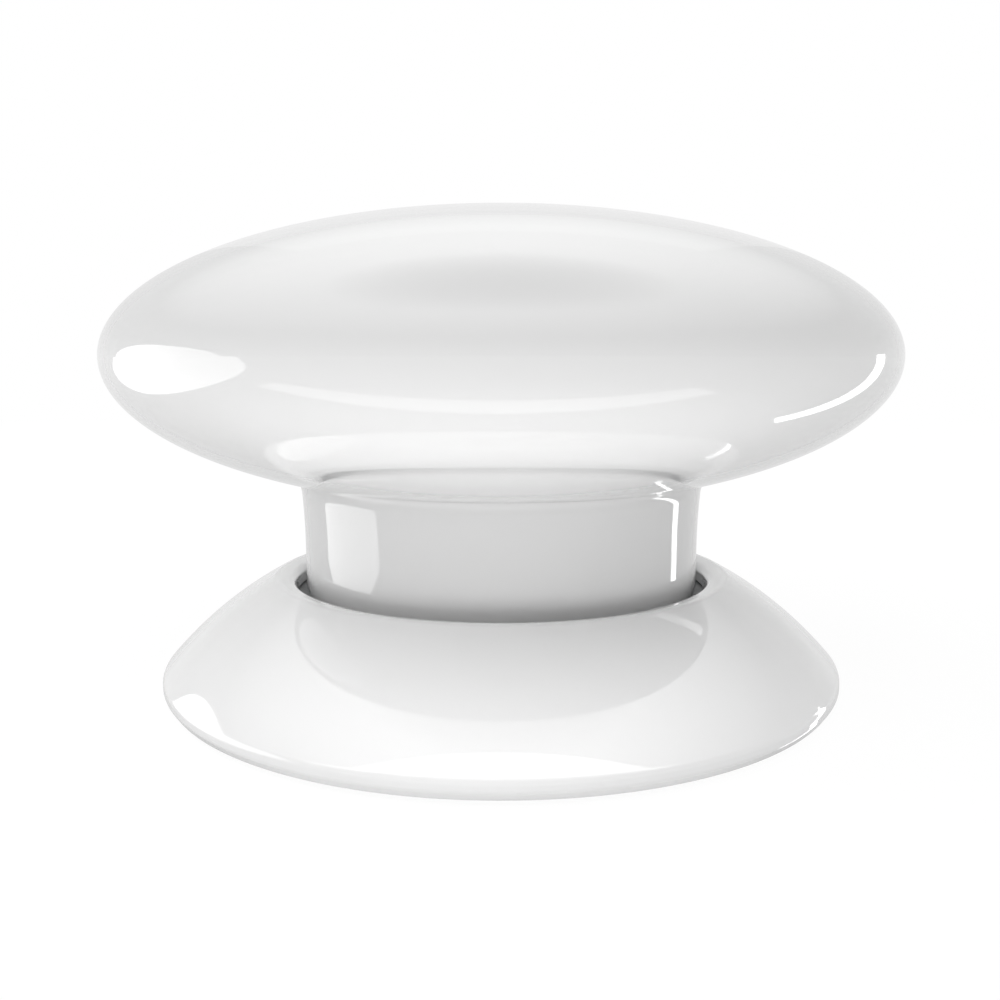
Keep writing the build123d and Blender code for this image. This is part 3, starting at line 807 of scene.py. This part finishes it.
@dataclass
class ConeBase:
    """The base: a low convex cone with a rounded lip, hollow below.

    Attributes:
        edge_radius: Radius of the outer edge.
        foot_radius: Radius of the foot.
        foot: Height of the foot above the floor.
        foot_rise: Height of the foot's chamfer.
        edge: Height of the outer edge, before it is rounded.
        edge_round: Radius of that round.
        crest_radius: Radius of the lip's crest.
        crest: Height of the lip's crest, before it is rounded.
        bulge: How far the flank stands out from a straight cone.
        crest_round: Radius of the lip's outer round.
        bore: Inner radius of the lip.
        bore_round: Radius of the lip's inner round.
        lip_fall: How far the lip falls towards the stem.
        shoulder: Height of the lip's lower face.
        skirt_bore: Inner radius of the skirt.
        skirt_radius: Outer radius of the skirt.
        skirt_end: Height of the skirt's lower end.
        roof_wall: Thickness of the roof.
        rim_bore: Inner radius of the rim.
        ledge_radius: Inner radius of the ledge that holds the plate.
        ledge_top: Height of the ledge's upper face.
        screw_circle: Radius of the circle of screws.
        screw_angles: Angles of the screws, in degrees.
        boss_radius: Radius of the screws' bosses.
        pilot_radius: Radius of their holes.
        pilot_end: Height of the holes' ends.
        notch_radius: How far the ledge's notches reach.
        notch_arc: Arc of a notch, in degrees.
        notch_angles: Angles of the notches' middles, in degrees.
        stop_radius: How far the stops reach.
        stop_arc: Arc of a stop, in degrees.
        stop_top: Height of the stops' upper faces, inside the roof.
        stop_angles: Angles of the stops' middles, in degrees.
        edge_run: How far inside the edge the flank's arc starts.
        crest_run: How far outside the crest it ends.
        roof_inset: How far inside the rim the roof's lower face ends.
        foot_round: Radius of the round at the foot.
        chamfer_round: Radius of the round above the foot's chamfer.
        ledge_round: Radius of the ledge's round.
        overlap: How far bosses and stops run into what carries them.
        overrun: How far a notch's cut starts inside and below the ledge.
        notch_rise: How far that cut rises above the ledge.
    """

    edge_radius: float = 20.55 * MM
    foot_radius: float = 20.25 * MM
    foot: float = 0.2 * MM
    foot_rise: float = 0.45 * MM
    edge: float = 1.15 * MM
    edge_round: float = 0.5 * MM
    crest_radius: float = 13.85 * MM
    crest: float = 6.45 * MM
    bulge: float = 0.42 * MM
    crest_round: float = 0.8 * MM
    bore: float = 12.65 * MM
    bore_round: float = 0.65 * MM
    lip_fall: float = 0.2 * MM
    shoulder: float = 5.25 * MM
    skirt_bore: float = 13.7 * MM
    skirt_radius: float = 15.2 * MM
    skirt_end: float = 3.05 * MM
    roof_wall: float = 1.5 * MM
    rim_bore: float = 18.9 * MM
    ledge_radius: float = 16.4 * MM
    ledge_top: float = 0.95 * MM
    screw_circle: float = 13.925 * MM
    screw_angles: tuple[float, ...] = (90.0, 210.0, 330.0)
    boss_radius: float = 1.57 * MM
    pilot_radius: float = 0.72 * MM
    pilot_end: float = 4.92 * MM
    notch_radius: float = 17.7 * MM
    notch_arc: float = 34.0
    notch_angles: tuple[float, ...] = (-35.0, 85.0, 205.0)
    stop_radius: float = 17.4 * MM
    stop_arc: float = 2.5
    stop_top: float = 2.6 * MM
    stop_angles: tuple[float, ...] = (16.85, 136.85, 256.85)
    edge_run: float = 0.35 * MM
    crest_run: float = 0.45 * MM
    roof_inset: float = 1.2 * MM
    foot_round: float = 0.08 * MM
    chamfer_round: float = 0.4 * MM
    ledge_round: float = 0.05 * MM
    overlap: float = 0.1 * MM
    overrun: float = 1.0 * MM
    notch_rise: float = 0.02 * MM

    def flank(self, radius: float, depth: float = 0.0) -> float:
        """Height of the flank, or of the face that lies a depth below it.

        Args:
            radius: Distance from the axis.
            depth: Depth below the outer face.

        Returns:
            The height there.
        """
        run = self.edge_radius - self.crest_radius
        rise = self.crest - self.edge
        chord = math.hypot(run, rise)
        arc_radius = (chord ** 2 / 4 + self.bulge ** 2) / (2 * self.bulge)
        setback = (arc_radius - self.bulge) / chord
        middle = (self.edge_radius + self.crest_radius) / 2 - rise * setback
        height = (self.edge + self.crest) / 2 - run * setback
        return height + math.sqrt((arc_radius - depth) ** 2 - (radius - middle) ** 2)

    def flank_corners(self, first: float, last: float, depth: float, count: int) -> list[Corner]:
        """Follows the flank, or the face below it, between two radii.

        Args:
            first: Radius at which it starts.
            last: Radius at which it ends.
            depth: Depth below the outer face.
            count: Number of steps.

        Returns:
            Corners without a radius, in order.
        """
        radii = [first + (last - first) * step / count for step in range(count + 1)]
        return [(radius, self.flank(radius, depth), 0.0) for radius in radii]

    def section(self) -> list[Corner]:
        """Gives the shell's section, as corners with a radius each.

        Returns:
            The corners, in order.
        """
        start, end = self.edge_radius - self.edge_run, self.crest_radius + self.crest_run
        edge_slope = (self.flank(start) - self.flank(start + SLOPE_STEP)) / SLOPE_STEP
        crest_slope = (self.flank(end - SLOPE_STEP) - self.flank(end)) / SLOPE_STEP
        edge = self.flank(start) - edge_slope * (self.edge_radius - start)
        crest = self.flank(end) + crest_slope * (end - self.crest_radius)
        roof_end = self.rim_bore - self.roof_inset
        return [
            (self.ledge_radius, self.foot, 0.0),
            (self.foot_radius, self.foot, self.foot_round),
            (self.edge_radius, self.foot + self.foot_rise, self.chamfer_round),
            (self.edge_radius, edge, self.edge_round),
            *self.flank_corners(start, end, 0.0, FLANK_STEPS),
            (self.crest_radius, crest, self.crest_round),
            (self.bore, self.crest - self.lip_fall, self.bore_round),
            (self.bore, self.shoulder, SMALL_ROUND),
            (self.skirt_bore, self.shoulder, 0.0),
            (self.skirt_bore, self.skirt_end, SMALL_ROUND),
            (self.skirt_radius, self.skirt_end, SMALL_ROUND),
            *self.flank_corners(self.skirt_radius, roof_end, self.roof_wall, ROOF_STEPS),
            (self.rim_bore, self.ledge_top, 0.0),
            (self.ledge_radius, self.ledge_top, self.ledge_round),
        ]

    def add_bosses(self, shell: Piece) -> None:
        """Adds the screws' bosses, cut clear of the lip's bore, and drills them.

        Args:
            shell: The base's shell.
        """
        turns = [math.radians(angle) for angle in self.screw_angles]
        spots = [(self.screw_circle * math.cos(turn), self.screw_circle * math.sin(turn)) for turn in turns]
        boss_top = self.shoulder + self.overlap
        bosses = [drum("boss", self.boss_radius, self.skirt_end, boss_top, spot) for spot in spots]
        room = drum("lip_room", self.bore, 0.0, 2 * self.crest, (0.0, 0.0), TURN_STEPS)
        for boss in bosses:
            combine(boss, [copy_of(room)], Fit.CUT)
        bpy.data.objects.remove(room)
        combine(shell, bosses, Fit.ADD)
        pilots = [drum("pilot", self.pilot_radius, 0.0, self.pilot_end, spot) for spot in spots]
        combine(shell, pilots, Fit.CUT)

    def fit_ledge(self, shell: Piece) -> None:
        """Cuts the notches that let the plate's tabs in and adds the tabs' stops.

        Args:
            shell: The base's shell.
        """
        inside, low, high = self.ledge_radius - self.overrun, -self.overrun, self.ledge_top + self.notch_rise
        notch = [(inside, low), (self.notch_radius, low), (self.notch_radius, high), (inside, high)]
        notches = [wedge("notch", notch, self.notch_arc, angle) for angle in self.notch_angles]
        combine(shell, notches, Fit.CUT)
        inside, low, high = self.ledge_radius, self.ledge_top - self.overlap, self.stop_top
        stop = [(inside, low), (self.stop_radius, low), (self.stop_radius, high), (inside, high)]
        combine(shell, [wedge("stop", stop, self.stop_arc, angle) for angle in self.stop_angles], Fit.ADD)

    def build(self) -> list[Piece]:
        """Turns the shell, adds its bosses and fits its ledge.

        Returns:
            The pieces.
        """
        shell = turned("cone_shell", outline(self.section(), BASE_ROUND_STEPS))
        self.add_bosses(shell)
        self.fit_ledge(shell)
        finish_piece(shell, BASE_WHITE_PAINTED_LIGHTER, "base", "base_shell")
        return [shell]


@dataclass
class ReturnSpring:
    """The wire spring between the frame's tube and the crown.

    Attributes:
        radius: Radius of the wire's middle line.
        wire: Radius of the wire.
        bottom: Height of the spring's lower end.
        height: Height of the spring at rest.
        turns: Number of turns.
        steps: Steps in each turn.
        travel: How far the cap goes down; not used.
    """

    radius: float = 10.5 * MM
    wire: float = 0.22 * MM
    bottom: float = 13.0 * MM
    height: float = 6.0 * MM
    turns: float = 4.5
    steps: int = 48
    travel: float = 0.8 * MM

    def build(self) -> list[Piece]:
        """Draws the wire's ring out into a coil and closes its ends.

        Returns:
            The pieces.
        """
        bpy.ops.object.select_all(action="DESELECT")
        bpy.ops.mesh.primitive_circle_add(
            vertices=WIRE_SIDES,
            radius=self.wire,
            location=(self.radius, 0, self.bottom + self.wire),
            rotation=(math.pi / 2, 0, 0),
        )
        coil = start_piece("wire_spring")
        winding = coil.modifiers.new("winding", "SCREW")
        winding.angle = 2 * math.pi * self.turns
        winding.screw_offset = self.height - 2 * self.wire
        winding.steps = round(self.steps * self.turns)
        winding.render_steps = winding.steps
        winding.axis = "Z"
        bpy.ops.object.modifier_apply(modifier=winding.name)
        bpy.ops.object.mode_set(mode="EDIT")
        bpy.ops.mesh.select_all(action="SELECT")
        bpy.ops.mesh.fill_holes(sides=WIRE_SIDES)
        close_mesh()
        finish_piece(coil, SPRING_STEEL, "base", "return_spring")
        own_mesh(coil)
        return [coil]


def finish_piece(piece: Piece, finish: Finish, body: str, node: str) -> None:
    """Smooths a piece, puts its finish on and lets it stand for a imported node.

    Args:
        piece: The piece.
        finish: Its finish.
        body: The body that it moves with.
        node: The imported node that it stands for.
    """
    select_only(piece)
    bpy.ops.object.shade_smooth_by_angle(angle=math.radians(SMOOTH_ANGLE))
    piece.data.materials.clear()
    piece.data.materials.append(finish.material())
    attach(piece, body)
    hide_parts(node)


# Sizes of the studio, in metres
AIM_HEIGHT = 12 * MM
FILL_DISTANCE = 1.36
FILL_WIDTH = 0.95
BOUNCE_HEIGHT = 0.0002
BOUNCE_AIM = 0.01

# The sensor's width in millimetres, and the colour ramp's brightest light and middle
SENSOR_WIDTH = 36.0
BAND_TOP = 2.0
RAMP_MIDDLE = 0.5


@dataclass(frozen=True)
class Panel:
    """A soft flat lamp.

    Attributes:
        name: Name of the lamp.
        place: Its centre, in metres.
        aim: The point that it faces.
        width: Its width.
        height: Its height.
        glow: Radiance of its face, where 1 is white.
        mirrored: Whether shiny surfaces show it, as a highlight; else it lights the matt ones.
        oval: Whether its face is an oval.
    """

    name: str
    place: Place
    aim: Place
    width: float
    height: float
    glow: float
    mirrored: bool = True
    oval: bool = False

    def build(self) -> None:
        """Hangs the lamp in its place, facing its aim."""
        lamp = bpy.data.lights.new(self.name, "AREA")
        lamp.shape = "ELLIPSE" if self.oval else "RECTANGLE"
        lamp.size = self.width
        lamp.size_y = self.height
        lamp.energy = self.glow * math.pi * self.width * self.height
        panel = bpy.data.objects.new(self.name, lamp)
        panel.location = self.place
        facing = Vector(self.aim) - Vector(self.place)
        panel.rotation_euler = facing.to_track_quat("-Z", "Y").to_euler()
        panel.visible_camera = False
        panel.visible_glossy = self.mirrored
        panel.visible_diffuse = not self.mirrored
        bpy.context.scene.collection.objects.link(panel)


def toward(azimuth: float, elevation: float, distance: float) -> Place:
    """Finds a lamp's place from the direction where it stands.

    Args:
        azimuth: Degrees from straight behind the object, growing to the right.
        elevation: Degrees above the level of the lamp's aim.
        distance: Distance from that aim.

    Returns:
        The place, in metres.
    """
    side, rise = math.radians(azimuth), math.radians(elevation)
    level = math.cos(rise) * distance
    return math.sin(side) * level, math.cos(side) * level, AIM_HEIGHT + math.sin(rise) * distance


def fill(azimuth: float, elevation: float, glow: float) -> Panel:
    """Makes a large far soft lamp that shiny surfaces don't show.

    Args:
        azimuth: Degrees from straight behind the object, growing to the right.
        elevation: Degrees above the level of the lamp's aim.
        glow: Radiance of its face.

    Returns:
        The lamp's panel.
    """
    name = f"fill_{azimuth:.0f}_{elevation:.0f}"
    place = toward(azimuth, elevation, FILL_DISTANCE)
    return Panel(name, place, (0.0, 0.0, AIM_HEIGHT), FILL_WIDTH, FILL_WIDTH, glow, mirrored=False)


def bounce(name: str, centre: Point, width: float, height: float, glow: float) -> Panel:
    """Makes a soft lamp that lies just above the floor and faces up.

    Args:
        name: Name of the lamp.
        centre: Where its centre lies on the floor.
        width: Its width.
        height: Its depth, away from the camera.
        glow: Radiance of its face.

    Returns:
        The lamp's panel.
    """
    place, aim = (*centre, BOUNCE_HEIGHT), (*centre, BOUNCE_AIM)
    return Panel(name, place, aim, width, height, glow, mirrored=False)


FILLS = (
    fill(180, 65, 0.60),
    fill(-125, 35, 0.95),
    fill(-125, 65, 0.90),
    fill(125, 65, 0.70),
    fill(-70, 35, 1.10),
    fill(70, 35, 0.38),
)
BOUNCES = (
    bounce("front_bounce", (-0.005, -0.045), width=0.090, height=0.036, glow=1.1),
    bounce("left_bounce", (-0.045, -0.012), width=0.036, height=0.060, glow=0.5),
    bounce("edge_bounce", (-0.003, -0.026), width=0.046, height=0.006, glow=0.9),
)
HIGHLIGHTS = (
    Panel(
        "left_panel", (-0.070, -0.006, 0.009), aim=(0.0, -0.006, 0.009),
        width=0.074, height=0.042, glow=0.9, oval=True,
    ),
    Panel(
        "right_strip", (0.0965, 0.0345, -0.024), aim=(0.0, 0.0, -0.024),
        width=0.010, height=0.095, glow=3.0,
    ),
    Panel(
        "back_panel", toward(0, 30, 0.17), aim=(0.0, 0.0, AIM_HEIGHT),
        width=0.150, height=0.125, glow=0.07,
    ),
    Panel(
        "card_below_cap", (-0.003, -0.0265, 0.0080), aim=(-0.003, -0.0264, 0.018),
        width=0.046, height=0.0035, glow=0.6,
    ),
    Panel(
        "card_above_base", (-0.003, -0.0258, 0.0118), aim=(-0.003, -0.0257, 0.0),
        width=0.046, height=0.0035, glow=1.2,
    ),
)
BANDS = (
    (-1.0, 0.50), (-0.6, 0.50), (-0.3, 0.70), (0.0, 0.86), (0.2, 0.80), (0.45, 0.85),
    (0.7, 1.40), (0.87, 1.80), (1.0, 1.30),
)


@dataclass
class Studio:
    """Floor, light and camera.

    Attributes:
        floor_radius: Radius of the floor.
        floor_tone: Colour of the floor.
        floor_glow: Light that the floor throws up at the object.
        floor_white: White that the camera sees in place of most of the floor.
        floor_veil: Share of that white, so that the rest keeps the shadow.
        ambient: Light of the surroundings on matt surfaces.
        panels: The lamps.
        bands: Light of the surroundings in shiny surfaces, by the sine of the direction's height.
        camera_place: Place of the camera.
        camera_pitch: How far it looks down, in degrees.
        lens: Focal length in millimetres, for a sensor 36 mm wide.
        shift: Shift of the picture, as a share of its width.
    """

    floor_radius: float = 0.3
    floor_tone: float = 0.8
    floor_glow: float = 0.30
    floor_white: float = 1.005
    floor_veil: float = 0.9
    ambient: float = 0.46
    panels: tuple[Panel, ...] = FILLS + BOUNCES + HIGHLIGHTS
    bands: tuple[Point, ...] = BANDS
    camera_place: Place = (0.0, -0.06069, 0.019165)
    camera_pitch: float = 8.28
    lens: float = 35.13
    shift: Point = (-0.0012, 0.0055)

    def add_floor(self) -> None:
        """Lays a pale floor that keeps the object's shadow."""
        bpy.ops.object.select_all(action="DESELECT")
        bpy.ops.mesh.primitive_circle_add(vertices=FLOOR_SIDES, radius=self.floor_radius, fill_type="NGON")
        floor = bpy.context.active_object
        floor.name = "floor"
        material = bpy.data.materials.new("floor_white")
        material.use_nodes = True
        tree = material.node_tree
        tree.nodes.clear()
        matt = add_node(tree, "BsdfDiffuse", {"Color": grey(self.floor_tone)})
        glow = add_node(tree, "Emission", {"Color": grey(1.0), "Strength": self.floor_glow})
        lit = add_node(tree, "AddShader", {0: matt.outputs["BSDF"], 1: glow.outputs["Emission"]})
        white = add_node(tree, "Emission", {"Color": grey(1.0), "Strength": self.floor_white})
        seen = add_node(tree, "LightPath").outputs["Is Camera Ray"]
        share = add_node(tree, "Math", {0: seen, 1: self.floor_veil}, operation="MULTIPLY")
        parts = {"Fac": share.outputs["Value"], 1: lit.outputs["Shader"], 2: white.outputs["Emission"]}
        mix = add_node(tree, "MixShader", parts)
        add_node(tree, "OutputMaterial", {"Surface": mix.outputs["Shader"]})
        floor.data.materials.append(material)
        floor.visible_glossy = False

    def add_surroundings(self) -> None:
        """Lights matt surfaces evenly and shiny ones by height, and shows the camera plain white."""
        world = bpy.data.worlds.new("surroundings")
        world.use_nodes = True
        bpy.context.scene.world = world
        tree = world.node_tree
        tree.nodes.clear()
        path = add_node(tree, "LightPath")
        place = add_node(tree, "TexCoord").outputs["Generated"]
        height = add_node(tree, "SeparateXYZ", {"Vector": place}).outputs["Z"]
        reach = {"Value": height, "From Min": -1.0, "From Max": 1.0}
        share = add_node(tree, "MapRange", reach).outputs["Result"]
        bands = add_node(tree, "ValToRGB", {"Fac": share})
        ramp = bands.color_ramp
        while len(ramp.elements) < len(self.bands):
            ramp.elements.new(RAMP_MIDDLE)
        for stop, (rise, glow) in zip(ramp.elements, self.bands):
            stop.position = (rise + 1) / 2
            stop.color = grey(glow / BAND_TOP)
        shine = {0: bands.outputs["Color"], 1: BAND_TOP}
        mirrored = add_node(tree, "Math", shine, operation="MULTIPLY").outputs["Value"]
        levels = {"Factor": path.outputs["Is Glossy Ray"], MIX_A: self.ambient, MIX_B: mirrored}
        level = add_node(tree, "Mix", levels, data_type="FLOAT").outputs["Result"]
        views = {"Factor": path.outputs["Is Camera Ray"], MIX_A: level, MIX_B: 1.0}
        seen = add_node(tree, "Mix", views, data_type="FLOAT").outputs["Result"]
        light = add_node(tree, "Background", {"Color": grey(1.0), "Strength": seen})
        add_node(tree, "OutputWorld", {"Surface": light.outputs["Background"]})

    def add_camera(self) -> None:
        """Stands the camera where the photograph was taken from."""
        lens = bpy.data.cameras.new("camera")
        lens.lens = self.lens
        lens.sensor_width = SENSOR_WIDTH
        lens.shift_x, lens.shift_y = self.shift
        lens.clip_start = MM
        camera = bpy.data.objects.new("camera", lens)
        camera.location = self.camera_place
        camera.rotation_euler = (math.radians(90 - self.camera_pitch), 0.0, 0.0)
        bpy.context.scene.collection.objects.link(camera)
        bpy.context.scene.camera = camera

    def build(self) -> None:
        """Lays the floor, hangs the lamps, sets the surroundings and stands the camera."""
        self.add_floor()
        for panel in self.panels:
            panel.build()
        self.add_surroundings()
        self.add_camera()


def main() -> None:
    """Dresses the button and sets the studio round it."""
    logging.basicConfig(level=logging.INFO, format="%(message)s")
    for name, finish in WORN_BY.items():
        dress(name, finish.material())
    for assembly in (LensCap(), ConeBase(), ReturnSpring()):
        for piece in assembly.build():
            log.info("%s: %s, %d faces", type(assembly).__name__, piece.name, len(piece.data.polygons))
    Studio().build()
    bpy.context.scene.view_settings.view_transform = "Standard"


if __name__ == "__main__":
    main()
